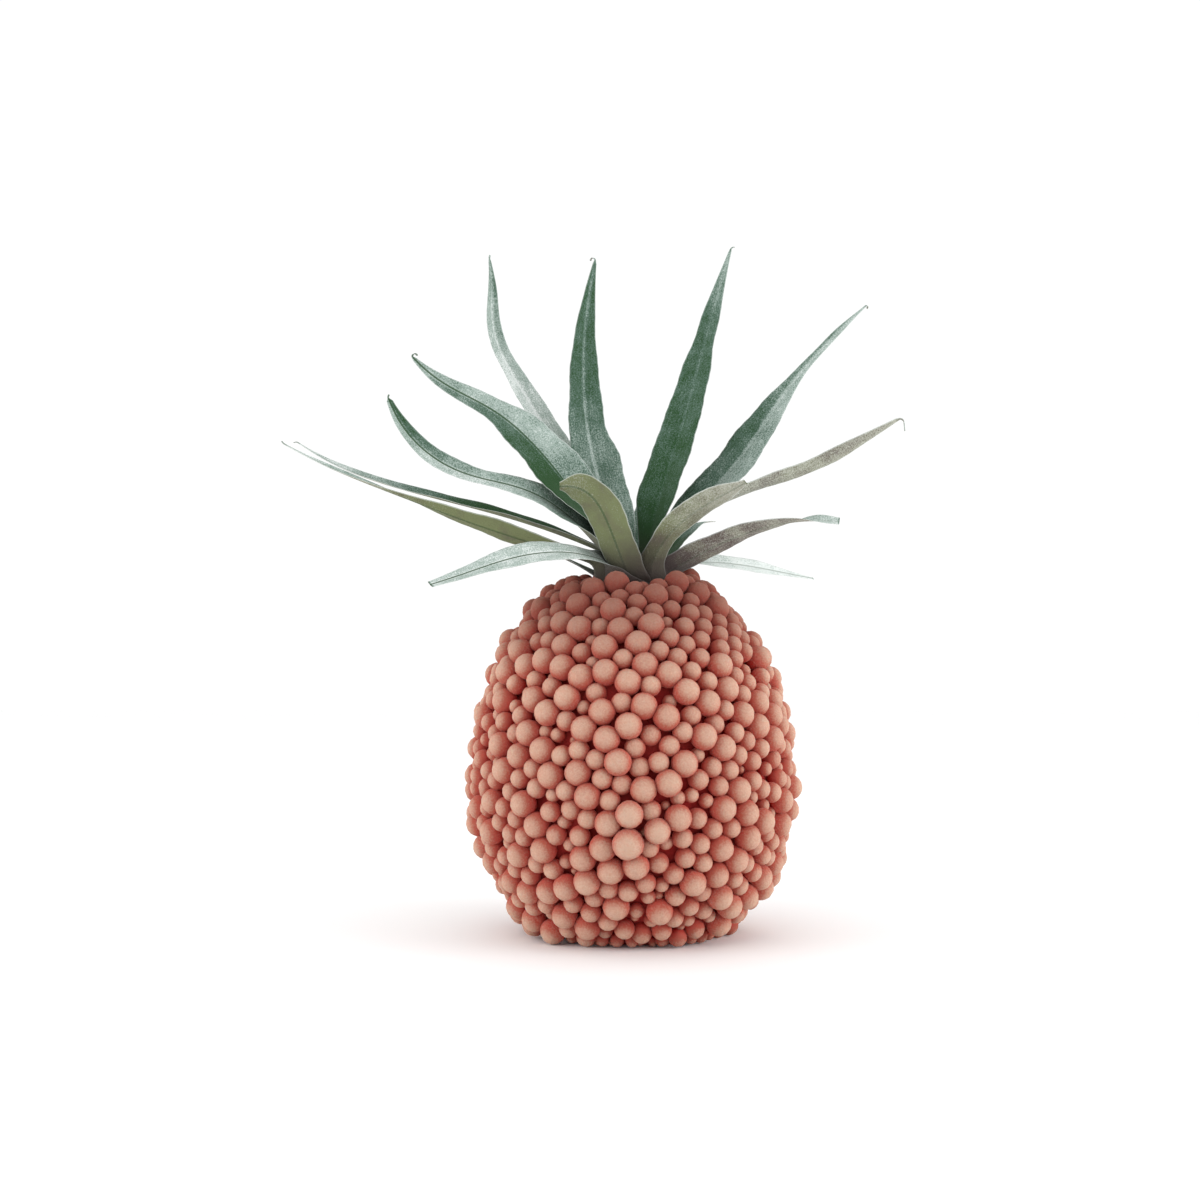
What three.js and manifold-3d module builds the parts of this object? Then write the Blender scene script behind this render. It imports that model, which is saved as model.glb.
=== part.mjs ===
// Flocked pineapple ornament: a foam core, a coat of glued foam beads and a crown of fabric leaves.
// Millimetres, +Z up, origin at the centre of the flat underside, the front faces -Y.
import * as THREE from 'three';
import { ConvexHull } from 'three/addons/math/ConvexHull.js';
import { mergeVertices } from 'three/addons/utils/BufferGeometryUtils.js';
import Module from 'manifold-3d';

// Foam core: two half ellipses, cut flat below and above
const coreRadius = 64.2;
const waistHeight = 66;
const coreRise = 92;
const coreDrop = 75;
const crownCut = 8;
const recessDepth = 3;
const coreSides = 36;
const coreRings = 12;
const seatHeight = waistHeight + coreRise - crownCut;

// Beads
const beadCount = 815;
const beadDiameters = { large: 10.8, medium: 8.4, small: 6 };
const largeShare = 0.3;
const smallShare = 0.14;
const beadSink = 0.2;
const sinkSpread = 1.6;
const beadScatter = 2.4;
const beadContact = 0.96;
const settlingSteps = 60;
const settlingPush = 0.6;
const valleyDepthShare = 0.75;
const lipWidth = 1;
const lipRise = 2;

// Three beads that stand proud of the others low on the front: their place across and up, and their size
const proudBeads = [
  { across: -1.6, up: 46.3, diameter: 12.4 },
  { across: -1.1, up: 58, diameter: 10.9 },
  { across: 9.9, up: 51.4, diameter: 10.3 },
];
const proudRise = 1.2;

// Gap between pieces that touch, and from the beads to the ground
const pieceGap = 0.3;

// Leaves
const leafThickness = 1.5;
const leafTipThickness = 0.7;
const leafBaseWidth = 7.2;
const leafSteps = 16;
const neckRise = 84;
const neckBend = 7;
const fullWidthAt = 0.28;
const leastWidth = 1;
const innerRing = 5.6;
const ringStep = 4.4;
const recessClearance = 2.3;
const crownClearance = 4.5;
const crownForward = 5;
const middleRing = innerRing + ringStep;
const outerRing = middleRing + ringStep;
const recessRadius = outerRing + leafThickness / 2 + recessClearance;
const crownOpeningRadius = recessRadius + crownClearance;

// One row a leaf. Angles in degrees: turn is 0 at the front and grows towards +X, rise is 0 at level.
// seat is the turn where its base stands, ring how far out, neck how high it stays upright.
// turn, rise, roll and widths are given at even steps along the leaf, from the neck to the tip.
const leafSpecs = [
  { name: 'leaf_front_short', seat: 2, ring: outerRing, neck: 4, length: 58, fold: 10,
    turn: [-50, -60, -72, -80], rise: [58, 66, 54, -8], roll: [20, 34, 52, 50],
    widths: [13, 16.5, 17, 16, 15, 12, 5] },
  { name: 'leaf_front_right_short', seat: 32, ring: outerRing, neck: 13, length: 60, fold: 18,
    turn: [40, 54, 58], rise: [56, 36, 24, 22], roll: [-25, -35],
    widths: [8, 10.5, 12.5, 12.5, 10, 3] },
  { name: 'leaf_right_low', seat: 78, ring: outerRing, neck: 10, length: 80, fold: 14,
    turn: [80, 82], rise: [30, 24, 10, -7], roll: [-30, -40, -30, 20],
    widths: [12, 14, 12, 11, 9, 8, 10, 9] },
  { name: 'leaf_back_right_drooping', seat: 117, ring: outerRing, neck: 13, length: 78, fold: 10,
    turn: [114, 114], rise: [12, -1, -8, -8], roll: [0, 30, 30],
    widths: [12, 14, 12, 9, 5.5, 1.5] },
  { name: 'leaf_back_right_low', seat: 156, ring: outerRing, neck: 8, length: 72, fold: 14,
    turn: [148, 146], rise: [36, 33, 26, 4], roll: [0],
    widths: [9, 12, 12, 10, 6, 1] },
  { name: 'leaf_back_left_low', seat: 196, ring: outerRing, neck: 9, length: 105, fold: 16,
    turn: [195, 192], rise: [44, 40, 34, 28], roll: [0],
    widths: [9, 13, 14, 12, 7, 1] },
  { name: 'leaf_left_under', seat: -124, ring: outerRing, neck: 7, length: 42, fold: 12,
    turn: [-118, -112], rise: [34, 24, 14], roll: [0],
    widths: [6, 5, 4, 1.5] },
  { name: 'leaf_left_low_front', seat: -84, ring: outerRing, neck: 14, length: 145, fold: 22,
    turn: [-80, -80], rise: [17, 17, 20, 21, 29], roll: [20, 45, 30, -20, -30],
    widths: [7, 8, 10, 9, 6, 5, 3.5, 1] },
  { name: 'leaf_front_left_drooping', seat: -44, ring: outerRing, neck: 14, length: 84, fold: 8,
    turn: [-58, -62, -64], rise: [15, -5, -19, -18], roll: [-30, -35, -30],
    widths: [8, 12, 16, 15, 12, 8, 5] },
  { name: 'leaf_right_middle', seat: 68, ring: middleRing, neck: 18, length: 130, fold: 14,
    turn: [84, 92, 92], rise: [56, 27, 19, 29, 31], roll: [0, -45, -45],
    widths: [14, 16, 11, 7, 7, 7.5, 7, 4, 1] },
  { name: 'leaf_right_high', seat: 118, ring: middleRing, neck: 14, length: 162, fold: 12,
    turn: [106, 105, 105], rise: [59, 46, 56, 48, 42], roll: [0, 45, 50, 50],
    widths: [18, 24, 21, 18.5, 17, 14, 7, 4.4, 3.5, 1] },
  { name: 'leaf_back_low', seat: 168, ring: middleRing, neck: 14, length: 105, fold: 16,
    turn: [166, 165], rise: [50, 44, 38, 32], roll: [0],
    widths: [9, 13, 14, 12, 7, 1] },
  { name: 'leaf_left_low_back', seat: -100, ring: middleRing, neck: 19, length: 158, fold: 22,
    turn: [-102, -100], rise: [24, 18, 15, 20, 34], roll: [0, -20, -20],
    widths: [7, 10, 11, 9.5, 8, 7, 4.5, 1] },
  { name: 'leaf_left_middle', seat: -52, ring: middleRing, neck: 14, length: 128, fold: 16,
    turn: [-82, -91, -90], rise: [53, 37, 13, 38, 69], roll: [0, -45, -55, -50],
    widths: [14, 21, 20, 12, 9, 9.5, 9.5, 7.5, 3] },
  { name: 'leaf_left_high', seat: -62, ring: innerRing, neck: 15, length: 137, fold: 16,
    turn: [-86, -98, -98], rise: [58, 55, 45, 28, 48], roll: [0, -50, -60, -60],
    widths: [13, 21, 27, 26, 22, 17, 12, 9, 5.5, 1.5] },
  { name: 'leaf_back_left_tall', seat: -146, ring: middleRing, neck: 14, length: 172, fold: 14,
    turn: [-122, -121], rise: [50, 57, 61, 61, 55, 62, 89, 80], roll: [0, -20, -20],
    widths: [10, 14, 17, 18, 17.5, 13, 11, 8.5, 6, 1.5] },
  { name: 'leaf_back_tall_left', seat: -166, ring: innerRing, neck: 19, length: 147, fold: 10,
    turn: [-134, -134], rise: [57, 67, 82, 96, 107], roll: [0, -25, -10],
    widths: [15, 24, 27, 25, 19, 16, 13.5, 10, 6, 1.5] },
  { name: 'leaf_back_tall_right', seat: 114, ring: innerRing, neck: 16, length: 157, fold: 12,
    turn: [124, 125], rise: [80, 69, 72, 72, 70], roll: [0, 25, 25],
    widths: [15, 22, 25, 21, 19.5, 15.5, 12, 9, 5, 1.5] },
];

// Flock colours
const coreColor = 0x8c1f1c;
const beadColor = 0xd79c82;
const leafColor = 0x5f7f6c;
const flockRoughness = 0.95;

const wasm = await Module();
wasm.setup();

const radians = THREE.MathUtils.degToRad;

// Repeatable chance between 0 and 1 for one index and one purpose
function chance(index, purpose) {
  let bits = Math.imul(index + 1, 0x9e3779b1) ^ Math.imul(purpose + 1, 0x85ebca6b);
  bits = Math.imul(bits ^ (bits >>> 15), 0xc2b2ae35);
  bits ^= bits >>> 13;
  return (bits >>> 0) / 2 ** 32;
}

// Point of the body at a tilt from straight up, a turn round the axis and a height above the core
function bodyPoint(tilt, turn, height) {
  const reach = Math.cos(tilt) > 0 ? coreRise : coreDrop;
  const across = (coreRadius + height) * Math.sin(tilt);
  return new THREE.Vector3(
    across * Math.sin(turn),
    -across * Math.cos(turn),
    waistHeight + (reach + height) * Math.cos(tilt),
  );
}

function tiltAtHeight(z, height) {
  const reach = z > waistHeight ? coreRise : coreDrop;
  return Math.acos((z - waistHeight) / (reach + height));
}

// Profile of the core between its two flats, from the bottom up, at a height above its surface
function coreProfile(height) {
  const low = tiltAtHeight(0, 0);
  const high = tiltAtHeight(seatHeight, 0);
  const points = [];
  for (let ring = 0; ring <= coreRings; ring += 1) {
    const point = bodyPoint(low + (high - low) * ring / coreRings, 0, height);
    points.push(new THREE.Vector2(-point.y, point.z));
  }
  return points;
}

function lathe(points) {
  return new THREE.LatheGeometry(points, coreSides).rotateX(Math.PI / 2);
}

function toSolid(geometry) {
  const bare = geometry.clone();
  bare.deleteAttribute('normal');
  bare.deleteAttribute('uv');
  const merged = mergeVertices(bare, 1e-4);
  return new wasm.Manifold(new wasm.Mesh({
    numProp: 3,
    vertProperties: new Float32Array(merged.attributes.position.array),
    triVerts: new Uint32Array(merged.index.array),
  }));
}

// Upright cylinder round the middle of the crown, from one height to another
function crownCylinder(radius, low, high) {
  const cylinder = new THREE.CylinderGeometry(radius, radius, high - low, coreSides);
  return toSolid(cylinder.rotateX(Math.PI / 2).translate(0, -crownForward, (low + high) / 2));
}

function toGeometry(solid) {
  const mesh = solid.getMesh();
  const geometry = new THREE.BufferGeometry();
  geometry.setAttribute('position', new THREE.BufferAttribute(mesh.vertProperties, 3));
  geometry.setIndex(new THREE.BufferAttribute(mesh.triVerts, 1));
  geometry.computeVertexNormals();
  return geometry;
}

// Core: the foam body with a shallow recess on top, where the leaf bases stand
function buildCore() {
  const body = toSolid(lathe([
    new THREE.Vector2(0, 0),
    ...coreProfile(0),
    new THREE.Vector2(0, seatHeight),
  ]));
  return toGeometry(body.subtract(crownCylinder(recessRadius, seatHeight - recessDepth, seatHeight + lipRise)));
}

// Beads: spread evenly by a golden-angle spiral, scattered, then pushed apart until they only touch.
// The proud beads keep their places and the others make room for them.
function layBeads() {
  const beads = [];
  const typical = beadDiameters.medium / 2;
  const top = Math.asin((crownOpeningRadius - crownForward + typical) / (coreRadius + typical));
  const bottom = tiltAtHeight(typical + pieceGap, typical);
  const samples = 400;
  const areas = [0];
  for (let sample = 1; sample <= samples; sample += 1) {
    const near = bodyPoint(top + (bottom - top) * (sample - 1) / samples, 0, typical);
    const far = bodyPoint(top + (bottom - top) * sample / samples, 0, typical);
    areas.push(areas[sample - 1] - near.distanceTo(far) * (near.y + far.y));
  }
  let sample = 0;
  for (let index = 0; index < beadCount; index += 1) {
    const wanted = areas[samples] * (index + 0.5) / beadCount;
    while (areas[sample + 1] < wanted) {
      sample += 1;
    }
    const share = (sample + (wanted - areas[sample]) / (areas[sample + 1] - areas[sample])) / samples;
    const pick = chance(index, 1);
    let diameter = beadDiameters.medium;
    if (pick < largeShare) {
      diameter = beadDiameters.large;
    } else if (pick > 1 - smallShare) {
      diameter = beadDiameters.small;
    }
    const tilt = top + (bottom - top) * share + (chance(index, 2) - 0.5) * beadScatter / coreRadius;
    const turn = index * Math.PI * (3 - Math.sqrt(5)) + (chance(index, 3) - 0.5) * beadScatter / coreRadius;
    const radius = diameter / 2;
    const height = radius - beadSink - sinkSpread * chance(index, 4);
    beads.push({ radius, height, centre: bodyPoint(tilt, turn, height), free: true });
  }
  for (const { across, up, diameter } of proudBeads) {
    const radius = diameter / 2;
    const height = radius + proudRise;
    const tilt = tiltAtHeight(up, height);
    const turn = Math.asin(across / Math.sin(tilt) / (coreRadius + height));
    beads.push({ radius, height, centre: bodyPoint(tilt, turn, height), free: false });
  }
  for (let step = 0; step < settlingSteps; step += 1) {
    settleBeads(beads);
  }
  return beads;
}

function settleBeads(beads) {
  const pushes = beads.map(() => new THREE.Vector3());
  const apart = new THREE.Vector3();
  for (let first = 0; first < beads.length; first += 1) {
    for (let second = first + 1; second < beads.length; second += 1) {
      apart.subVectors(beads[first].centre, beads[second].centre);
      const contact = beadContact * (beads[first].radius + beads[second].radius);
      const distance = apart.length();
      if (distance < contact) {
        apart.multiplyScalar((contact - distance) / distance / 2);
        pushes[first].add(apart);
        pushes[second].sub(apart);
      }
    }
  }
  beads.forEach((bead, index) => {
    if (bead.free) {
      bead.centre.add(pushes[index].multiplyScalar(settlingPush));
      dropOntoBody(bead);
    }
  });
}

// Brings a bead back to its height on the body, above the ground and outside the crown's opening
function dropOntoBody(bead) {
  const { centre, radius, height } = bead;
  const reach = centre.z > waistHeight ? coreRise : coreDrop;
  const across = Math.hypot(centre.x, centre.y);
  const tilt = Math.atan2(across / (coreRadius + height), (centre.z - waistHeight) / (reach + height));
  const bottom = tiltAtHeight(radius + pieceGap, height);
  centre.copy(bodyPoint(Math.min(tilt, bottom), Math.atan2(centre.x, -centre.y), height));
  const aside = new THREE.Vector2(centre.x, centre.y + crownForward);
  const clear = crownOpeningRadius + radius;
  if (centre.z > waistHeight && aside.length() < clear) {
    aside.setLength(clear);
    aside.y -= crownForward;
    const topTilt = Math.asin(aside.length() / (coreRadius + height));
    centre.copy(bodyPoint(topTilt, Math.atan2(aside.x, -aside.y), height));
  }
}

// Outward direction of the body's surface at a point
function bodyNormal(point) {
  const reach = point.z > waistHeight ? coreRise : coreDrop;
  return new THREE.Vector3(
    point.x / coreRadius ** 2,
    point.y / coreRadius ** 2,
    (point.z - waistHeight) / reach ** 2,
  ).normalize();
}

// Bead coat: the outer skin of all beads, a peak for each bead and a valley between each three
function buildBeadCoat(beads) {
  const waist = new THREE.Vector3(0, 0, waistHeight);
  const places = beads.map((bead) => ({
    point: bead.centre.clone().addScaledVector(bodyNormal(bead.centre), bead.radius),
    dip: bead.radius * valleyDepthShare,
  }));
  const largest = beadDiameters.large / 2;
  const groundRadius = Math.sin(tiltAtHeight(largest, largest)) * (coreRadius + largest);
  const lipHeight = seatHeight + lipRise;
  for (let side = 0; side < coreSides; side += 1) {
    const turn = 2 * Math.PI * side / coreSides;
    const out = new THREE.Vector3(Math.sin(turn), -Math.cos(turn), 0);
    places.push({ point: out.clone().multiplyScalar(groundRadius).setZ(pieceGap), dip: 0 });
    if (side % 2 === 0) {
      const lip = out.clone().multiplyScalar(crownOpeningRadius).setZ(lipHeight);
      lip.y -= crownForward;
      places.push({ point: lip, dip: 0 });
    }
  }
  places.push({ point: new THREE.Vector3(0, 0, pieceGap), dip: 0 });
  places.push({ point: new THREE.Vector3(0, -crownForward, lipHeight), dip: 0 });

  const directions = places.map((place) => place.point.clone().sub(waist).normalize());
  const hull = new ConvexHull().setFromPoints(directions);
  const rankOf = new Map(directions.map((direction, rank) => [direction, rank]));
  const vertices = places.flatMap((place) => place.point.toArray());
  const triangles = [];
  for (const face of hull.faces) {
    const ranks = [];
    let edge = face.edge;
    do {
      ranks.push(rankOf.get(edge.head().point));
      edge = edge.next;
    } while (edge !== face.edge);
    const corners = ranks.map((rank) => places[rank]);
    const valley = new THREE.Vector3();
    corners.forEach((corner) => valley.addScaledVector(corner.point, 1 / 3));
    const dip = Math.min(...corners.map((corner) => corner.dip));
    valley.addScaledVector(bodyNormal(valley), -dip);
    const valleyRank = vertices.length / 3;
    vertices.push(...valley.toArray());
    ranks.forEach((rank, corner) => triangles.push(rank, ranks[(corner + 1) % 3], valleyRank));
  }
  const skin = new THREE.BufferGeometry();
  skin.setAttribute('position', new THREE.Float32BufferAttribute(vertices, 3));
  skin.setIndex(triangles);

  const inside = coreProfile(pieceGap);
  const hollow = toSolid(lathe([
    new THREE.Vector2(0, -largest),
    new THREE.Vector2(inside[0].x, -largest),
    ...inside,
    new THREE.Vector2(0, seatHeight + pieceGap),
  ]));
  const opening = crownCylinder(crownOpeningRadius - lipWidth, seatHeight - lipRise, seatHeight + largest);
  return toGeometry(toSolid(skin).subtract(hollow.add(opening)));
}

// Value of a smooth curve through a list of keys, at a share of the way along it
function keyed(keys, share) {
  const last = keys.length - 1;
  const place = THREE.MathUtils.clamp(share, 0, 1) * last;
  const before = Math.min(Math.floor(place), Math.max(last - 1, 0));
  const [a, b, c, d] = [-1, 0, 1, 2].map((step) => keys[THREE.MathUtils.clamp(before + step, 0, last)]);
  const t = place - before;
  return b + t * (c - a + t * (2 * a - 5 * b + 4 * c - d + t * (3 * (b - c) + d - a))) / 2;
}

// Middle line of a leaf with its width direction and its upper side, at even steps
function leafStations(spec) {
  const total = spec.neck + spec.length;
  const fine = 8;
  const stride = total / leafSteps / fine;
  const seatTurn = radians(spec.seat);
  const place = new THREE.Vector3(
    spec.ring * Math.sin(seatTurn),
    -spec.ring * Math.cos(seatTurn) - crownForward,
    seatHeight - recessDepth + pieceGap,
  );
  const stations = [];
  for (let step = 0; step <= leafSteps * fine; step += 1) {
    const travelled = step * stride;
    const share = (travelled - spec.neck) / spec.length;
    const bend = THREE.MathUtils.smoothstep(travelled, spec.neck - neckBend / 2, spec.neck + neckBend / 2);
    const heading = nearestTurn(keyed(spec.turn, share), spec.seat);
    const turn = radians(THREE.MathUtils.lerp(spec.seat, heading, bend));
    const rise = radians(THREE.MathUtils.lerp(neckRise, keyed(spec.rise, share), bend));
    const roll = radians(keyed(spec.roll, share));
    const along = new THREE.Vector3(
      Math.cos(rise) * Math.sin(turn),
      -Math.cos(rise) * Math.cos(turn),
      Math.sin(rise),
    );
    const side = new THREE.Vector3(Math.cos(turn), Math.sin(turn), 0).applyAxisAngle(along, roll);
    if (step % fine === 0) {
      const width = keyed(spec.widths, share);
      const up = along.clone().cross(side);
      stations.push({ place: place.clone(), side, up, width, share: travelled / total });
    }
    place.addScaledVector(along, stride);
  }
  return stations;
}

// The same turn, written so that it is less than half a circle from another
function nearestTurn(turn, other) {
  return other + THREE.MathUtils.euclideanModulo(turn - other + 180, 360) - 180;
}

// Leaf: a long blade folded a little along its mid rib, pointed at the tip
function buildLeaf(spec) {
  const vertices = [];
  const triangles = [];
  const stations = leafStations(spec);
  const last = stations.length - 1;
  stations.forEach(({ place, side, up, width, share }, rank) => {
    if (rank === last) {
      vertices.push(...place.toArray());
      return;
    }
    const widening = THREE.MathUtils.smoothstep(share, 0, fullWidthAt);
    const half = THREE.MathUtils.lerp(leafBaseWidth, Math.max(width, leastWidth), widening) / 2;
    const lift = half * Math.tan(radians(spec.fold));
    const thick = THREE.MathUtils.lerp(leafThickness, leafTipThickness, share) / 2;
    const section = [[-half, lift], [0, -thick], [half, lift], [0, thick]];
    for (const [across, raise] of section) {
      vertices.push(...place.clone().addScaledVector(side, across).addScaledVector(up, raise).toArray());
    }
  });
  for (let rank = 0; rank < last - 1; rank += 1) {
    for (let corner = 0; corner < 4; corner += 1) {
      const here = rank * 4 + corner;
      const next = rank * 4 + (corner + 1) % 4;
      triangles.push(here, next, next + 4, here, next + 4, here + 4);
    }
  }
  const end = (last - 1) * 4;
  for (let corner = 0; corner < 4; corner += 1) {
    triangles.push(end + corner, end + (corner + 1) % 4, last * 4);
  }
  triangles.push(0, 3, 1, 1, 3, 2);
  const geometry = new THREE.BufferGeometry();
  geometry.setAttribute('position', new THREE.Float32BufferAttribute(vertices, 3));
  geometry.setIndex(triangles);
  geometry.computeVertexNormals();
  return geometry;
}

function addPiece(group, name, geometry, color) {
  const flock = new THREE.MeshStandardMaterial({ color, roughness: flockRoughness, metalness: 0 });
  const mesh = new THREE.Mesh(geometry, flock);
  mesh.name = name;
  group.add(mesh);
}

const ornament = new THREE.Group();
addPiece(ornament, 'foam_core', buildCore(), coreColor);
addPiece(ornament, 'bead_coat', buildBeadCoat(layBeads()), beadColor);
for (const spec of leafSpecs) {
  addPiece(ornament, spec.name, buildLeaf(spec), leafColor);
}

export default ornament;
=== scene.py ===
"""Flocked pineapple ornament: the looks of a beaded foam body and a crown of frosted fabric leaves."""
import math

import bpy
import numpy as np
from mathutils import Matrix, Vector


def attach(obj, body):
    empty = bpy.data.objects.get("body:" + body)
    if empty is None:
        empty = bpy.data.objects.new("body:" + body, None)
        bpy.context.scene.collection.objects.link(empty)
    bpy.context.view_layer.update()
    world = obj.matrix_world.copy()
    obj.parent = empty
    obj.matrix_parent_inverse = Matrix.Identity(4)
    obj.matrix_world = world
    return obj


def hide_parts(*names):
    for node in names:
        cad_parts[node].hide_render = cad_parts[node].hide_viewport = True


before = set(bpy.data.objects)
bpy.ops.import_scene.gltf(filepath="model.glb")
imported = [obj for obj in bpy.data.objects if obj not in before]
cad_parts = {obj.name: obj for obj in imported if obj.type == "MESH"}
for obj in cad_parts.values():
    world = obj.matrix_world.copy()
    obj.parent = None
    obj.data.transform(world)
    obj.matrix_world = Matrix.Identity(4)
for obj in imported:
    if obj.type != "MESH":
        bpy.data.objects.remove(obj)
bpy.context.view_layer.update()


# Foam core
# The body is carved from light foam, flat below, with a shallow recess on top for the leaves, and flocked
# deep red. It keeps its CAD solid, because it shows only in the gaps between the beads glued all over it.

CORE_RED = (0.32, 0.021, 0.019, 1)
CORE_LIGHT_RED = (0.40, 0.038, 0.032, 1)
CORE_SHEEN = 0.2
CORE_SHEEN_TINT = (1, 0.3, 0.25, 1)
CORE_PATCH_SCALE = 60
CORE_PATCHES = (0.35, 0.7)
CORE_GRAIN = 1900
CORE_RELIEF = 0.0004

FLOCK_ROUGHNESS = 0.95
FLOCK_GLOSS = 0.12
SHEEN_ROUGHNESS = 0.45


class Wire:
    """One value in a node tree. Arithmetic on wires adds Math nodes to the same tree."""

    def __init__(self, work, socket):
        self.work = work
        self.socket = socket

    def math(self, operation, *values):
        return self.work.add("ShaderNodeMath", {"operation": operation}, dict(enumerate(values)))

    def __add__(self, other):
        return self.math("ADD", self, other)

    def __radd__(self, other):
        return self.math("ADD", other, self)

    def __sub__(self, other):
        return self.math("SUBTRACT", self, other)

    def __rsub__(self, other):
        return self.math("SUBTRACT", other, self)

    def __mul__(self, other):
        return self.math("MULTIPLY", self, other)

    def __rmul__(self, other):
        return self.math("MULTIPLY", other, self)

    def size(self):
        return self.math("ABSOLUTE", self)

    def eased(self, low, high):
        """0 below low, 1 above high, and a soft step between."""
        inputs = {"Value": self, "From Min": low, "From Max": high}
        return self.work.add("ShaderNodeMapRange", {"interpolation_type": "SMOOTHSTEP"}, inputs)


class Nodes:
    """A node tree, with one method that adds any node."""

    def __init__(self, tree):
        self.tree = tree

    def add(self, kind, settings=None, inputs=None, output=0):
        node = self.tree.nodes.new(kind)
        for name, value in (settings or {}).items():
            setattr(node, name, value)
        for key, value in (inputs or {}).items():
            self.feed(self.find(node.inputs, key), value)
        return Wire(self, self.find(node.outputs, output))

    def find(self, sockets, key):
        if isinstance(key, int):
            return sockets[key]
        return next(socket for socket in sockets if key in (socket.identifier, socket.name))

    def feed(self, socket, value):
        if isinstance(value, Wire):
            self.tree.links.new(value.socket, socket)
        else:
            socket.default_value = value


class Finish(Nodes):
    """A flocked surface: matte, with a plain sheen and a grain of fine fibres."""

    def __init__(self, name, sheen, sheen_tint):
        self.material = bpy.data.materials.new(name)
        self.material.use_nodes = True
        super().__init__(self.material.node_tree)
        self.tree.nodes.clear()
        self.surface = self.tree.nodes.new("ShaderNodeBsdfPrincipled")
        self.surface.inputs["Sheen Weight"].default_value = sheen
        self.surface.inputs["Sheen Roughness"].default_value = SHEEN_ROUGHNESS
        self.surface.inputs["Sheen Tint"].default_value = sheen_tint
        self.surface.inputs["Specular IOR Level"].default_value = FLOCK_GLOSS
        self.surface.inputs["Roughness"].default_value = FLOCK_ROUGHNESS
        output = self.tree.nodes.new("ShaderNodeOutputMaterial")
        self.tree.links.new(self.surface.outputs[0], output.inputs[0])

    def blend(self, factor, first, second):
        inputs = {"Factor_Float": factor, "A_Color": first, "B_Color": second}
        return self.add("ShaderNodeMix", {"data_type": "RGBA"}, inputs, "Result_Color")

    def attribute(self, name):
        return self.add("ShaderNodeAttribute", {"attribute_name": name}, output="Fac")

    def place(self):
        return self.add("ShaderNodeTexCoord", output="Object")

    def noise(self, where, scale, detail=2.0):
        return self.add("ShaderNodeTexNoise", {}, {"Vector": where, "Scale": scale, "Detail": detail})

    def dress(self, colour, height, relief):
        """Feeds the colour and a bump of this height, relief metres deep."""
        self.feed(self.surface.inputs["Base Color"], colour)
        bump = self.add("ShaderNodeBump", {}, {"Strength": 1.0, "Distance": relief, "Height": height})
        self.feed(self.surface.inputs["Normal"], bump)
        return self.material


def core_flock():
    finish = Finish("core_flock", CORE_SHEEN, CORE_SHEEN_TINT)
    where = finish.place()
    patches = finish.noise(where, CORE_PATCH_SCALE).eased(*CORE_PATCHES)
    colour = finish.blend(patches, CORE_RED, CORE_LIGHT_RED)
    return finish.dress(colour, finish.noise(where, CORE_GRAIN), CORE_RELIEF)


core_node = bpy.data.objects["foam_core"]
core_node.data.materials.clear()
core_node.data.materials.append(core_flock())


# Beads
# Round foam beads in mixed sizes are glued side by side over the whole core and flocked salmon pink. Three
# stand proud low on the front. They lie where the CAD solid has them and stand in for it. The small ones that
# are wedged into the gaps are left out of that solid.

MM = 0.001

# The body below the beads, two half ellipses, and the ring round the crown that beads keep clear of
CORE_RADIUS = 64.2
WAIST_HEIGHT = 66
CORE_RISE = 92
CORE_DROP = 75
PIECE_GAP = 0.3
CROWN_OPENING = 21.95
CROWN_FORWARD = 5

BEAD_COUNT = 815
LARGE, MEDIUM, SMALL = 10.8, 8.4, 6.0
LARGE_SHARE = 0.3
SMALL_SHARE = 0.14
BEAD_SINK = 0.2
SINK_SPREAD = 1.6
BEAD_SCATTER = 2.4
BEAD_CONTACT = 0.96
SETTLING_STEPS = 60
SETTLING_PUSH = 0.6
SPIRAL_SAMPLES = 401

# Each proud bead: how far right and how far up it sits, and its diameter
PROUD_BEADS = ((-1.6, 46.3, 12.4), (-1.1, 58, 10.9), (9.9, 51.4, 10.3))
PROUD_RISE = 1.2

# Each size that is wedged in: its diameter, the room that it needs as a share of its radius, and the tries
FILLINGS = ((8.4, 0.72, 3000), (6.0, 0.78, 4000), (3.8, 0.84, 5000))
WEDGED_SINK = 0.3
WEDGED_LEAST, WEDGED_SPREAD = 0.88, 0.2

# Each bead is a cube with this many faces along a side, rounded, and swollen by the flock on it
BEAD_FACES = 4
FLOCK_SWELL = 1.04
TURNING_SEED = 4

# The height at which the beads are parted into two pieces, and how far out from the core most of them lie
PARTING_HEIGHT = 78
TYPICAL_HEIGHT = 4

# Tone is 0 for a dark bead and 1 for a light one: by chance, and, as painted shade, lighter the further out a
# bead stands, so the proud ones are painted lit and the wedged ones painted shaded
TONE_SEED = 8
TONE_SPREAD = 0.6
SHADE_OF_HEIGHT = 0.5
PROUD_PAINTED_LIGHT = 1.3
WEDGED_PAINTED_SHADE = -0.9

HIGHLIGHT_AND_FUZZ_PINK = (0.52, 0.338, 0.252, 1)
SALMON = (0.385, 0.141, 0.094, 1)
DARK_SALMON = (0.345, 0.102, 0.070, 1)
SIDE_SHADE_RED = (0.42, 0.070, 0.052, 1)
GAP_SHADE_RED = (0.52, 0.036, 0.030, 1)
CROWN_SHADOW_RED = (0.17, 0.046, 0.034, 1)
BEAD_SHEEN = 0.12
BEAD_SHEEN_TINT = (1, 0.55, 0.42, 1)
BEAD_GLOW = 0.3
GLOW_REACH = (1, 0.3, 0.2)
GLOW_DEPTH = 0.0015
BEAD_GRAIN = 1300
BEAD_RELIEF = 0.00025
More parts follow.
